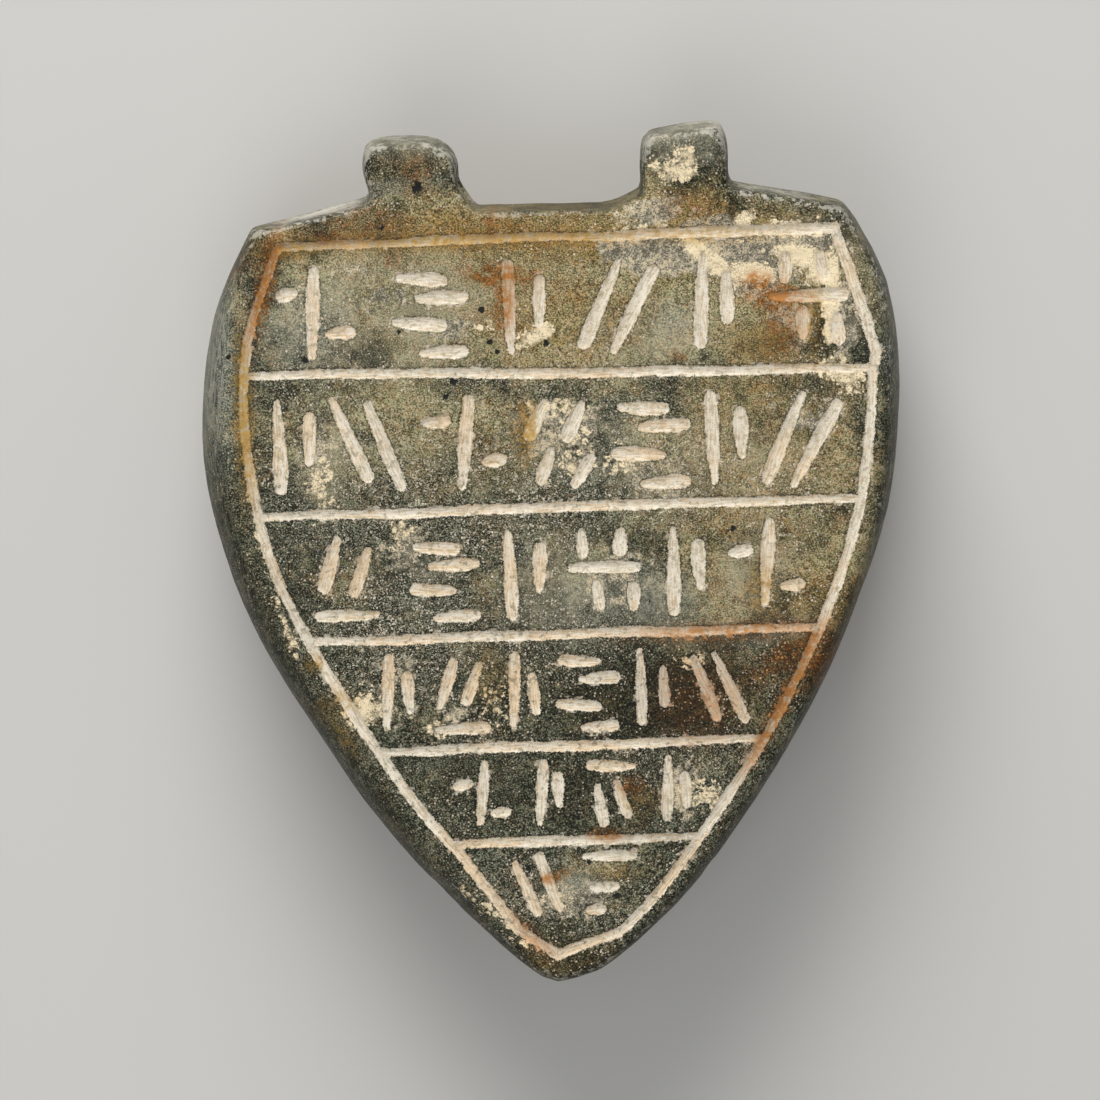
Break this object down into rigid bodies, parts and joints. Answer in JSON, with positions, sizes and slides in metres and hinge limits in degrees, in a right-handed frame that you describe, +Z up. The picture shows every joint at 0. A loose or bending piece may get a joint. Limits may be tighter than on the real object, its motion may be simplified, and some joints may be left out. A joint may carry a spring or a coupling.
{
  "type": "inscribed stone amulet",
  "caption": "Shield-shaped pendant of dark soft stone with pierced lugs at the top, a framed face of ruled rows of incised strokes and a plain rounded back.",
  "frame": {"origin": "centre of the bounding box, on the surface that the amulet lies on with its back down", "axes": "+Z up out of the inscribed face, +Y from the tip towards the lugs, +X to the right of the face as it is read with the lugs at the top"},
  "size_m": [0.065, 0.0806, 0.017],
  "materials": {
    "steatite": "matt worn soft stone, with pale fill in the cuts and rusty and cream staining"
  },
  "bodies": {
    "root": {"inscribed_amulet": "steatite"}
  },
  "joints": []
}
